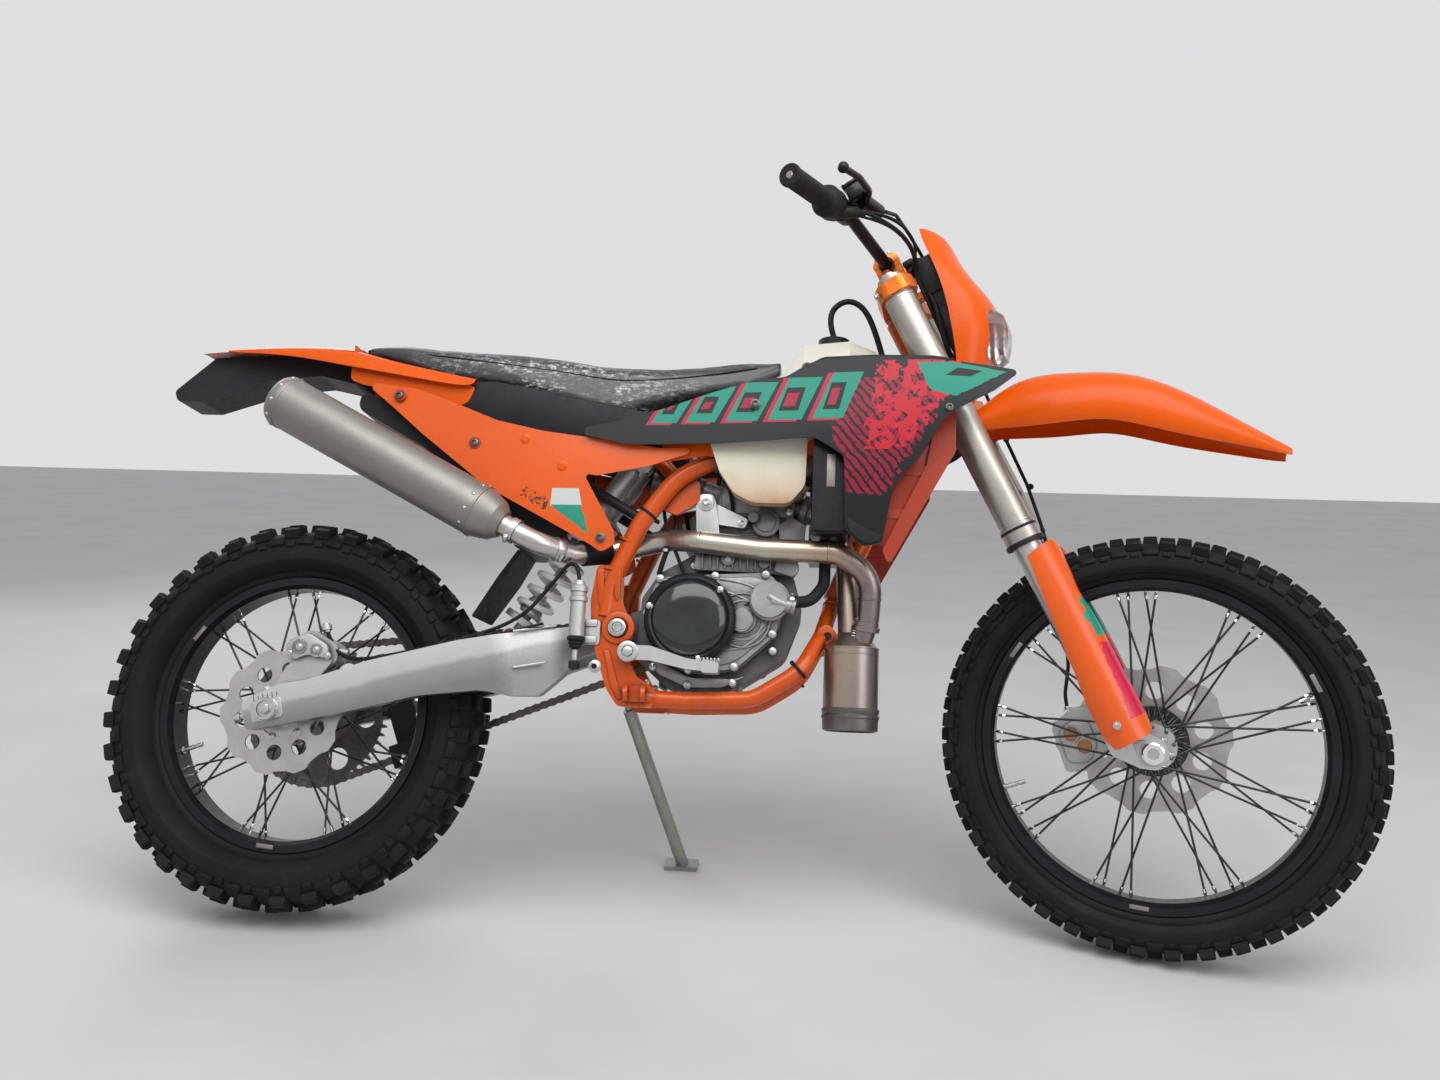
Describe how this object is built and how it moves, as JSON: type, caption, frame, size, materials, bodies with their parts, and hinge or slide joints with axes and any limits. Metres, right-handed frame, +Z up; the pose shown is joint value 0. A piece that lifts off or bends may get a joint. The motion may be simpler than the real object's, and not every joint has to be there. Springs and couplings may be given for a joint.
{
  "type": "enduro motorcycle",
  "caption": "Single-cylinder enduro motorcycle with spoked wheels, knobbly tyres and orange panels, leaning on its side stand.",
  "frame": {"origin": "centre of the bounding box on the ground plane", "axes": "+X towards the front wheel, +Y to the rider's left, +Z up; the machine leans to +Y on its side stand"},
  "size_m": [2.1688, 0.837, 1.2774],
  "materials": {
    "tyre": "worn matt rubber",
    "black_rubber": "matt",
    "black_plastic": "moulded, fine grain",
    "orange_plastic": "moulded, semi-gloss",
    "red_plastic": "moulded, satin",
    "orange_frame": "powder coat",
    "black_alloy": "black anodised",
    "orange_alloy": "orange anodised",
    "bare_alloy": "satin, lightly marked",
    "engine_alloy": "cast, painted grey",
    "fork_alloy": "hard anodised",
    "steel": "ground",
    "dark_steel": "heat-stained and oiled",
    "white_steel": "powder coat",
    "silencer_alloy": "bead blasted",
    "tank_plastic": "translucent, aged ivory",
    "seat_cover": "vinyl cover under clear film",
    "clear_lens": "clear moulded lens"
  },
  "bodies": {
    "chassis": {"main_frame": "orange_frame", "frame_brackets": "steel", "subframe": "bare_alloy", "crankcase": "engine_alloy", "engine_covers": "engine_alloy", "cylinder": "engine_alloy", "head_stays": "bare_alloy", "front_sprocket": "dark_steel", "exhaust_pipe": "dark_steel", "silencer": "silencer_alloy", "swingarm": "bare_alloy", "rear_axle": "steel", "pivot_bolt": "steel", "rear_caliper": "bare_alloy", "chain_guide": "black_plastic", "chain": "dark_steel", "shock_body": "bare_alloy", "shock_spring": "white_steel", "shock_bolt": "steel", "fuel_tank": "tank_plastic", "fuel_cap": "black_plastic", "side_panel_right": "orange_plastic", "side_panel_left": "orange_plastic", "shroud_right": "black_plastic", "shroud_left": "black_plastic", "radiators": "bare_alloy", "radiator_guards": "red_plastic", "rear_fender": "orange_plastic", "seat": "seat_cover", "tail_piece": "black_plastic", "airbox": "black_plastic", "mud_flap": "black_rubber", "brake_pedal": "bare_alloy", "rear_master_cylinder": "bare_alloy", "gear_lever": "bare_alloy", "coolant_hose": "black_rubber"},
    "steering": {"fork_clamps": "orange_alloy", "fork_tubes": "fork_alloy", "fork_lowers": "bare_alloy", "fork_guards": "orange_plastic", "front_axle": "steel", "front_caliper": "bare_alloy", "handlebar": "black_alloy", "grips": "black_rubber", "controls": "black_alloy", "instrument": "black_plastic", "brake_hose": "black_rubber", "front_fender": "orange_plastic", "headlight_mask": "orange_plastic", "headlight_lens": "clear_lens"},
    "front_wheel": {"front_tyre": "tyre", "front_rim": "black_alloy", "front_hub": "bare_alloy", "front_disc": "steel"},
    "rear_wheel": {"rear_tyre": "tyre", "rear_rim": "black_alloy", "rear_hub": "bare_alloy", "rear_disc": "steel", "rear_sprocket": "dark_steel"},
    "side_stand": {"side_stand": "bare_alloy"}
  },
  "joints": [
    {"name": "steering", "type": "hinge", "parent": "chassis", "child": "steering", "pos_m": [0.39476, -0.06604, 0.91598], "axis": [-0.4381, 0.2708, 0.8572], "range_deg": [-22.75, 61.25]},
    {"name": "front_wheel_spin", "type": "hinge", "parent": "steering", "child": "front_wheel", "pos_m": [0.74008, -0.26247, 0.34955], "axis": [0.2958, 0.9439, -0.147], "continuous": true},
    {"name": "rear_wheel_spin", "type": "hinge", "parent": "chassis", "child": "rear_wheel", "pos_m": [-0.74442, -0.24918, 0.33937], "axis": [-0.0007, 0.9535, -0.3015], "continuous": true},
    {"name": "side_stand_fold", "type": "hinge", "parent": "chassis", "child": "side_stand", "pos_m": [-0.18235, -0.10558, 0.35777], "axis": [-0.0959, 0.9948, -0.0329], "range_deg": [0, 98]}
  ]
}
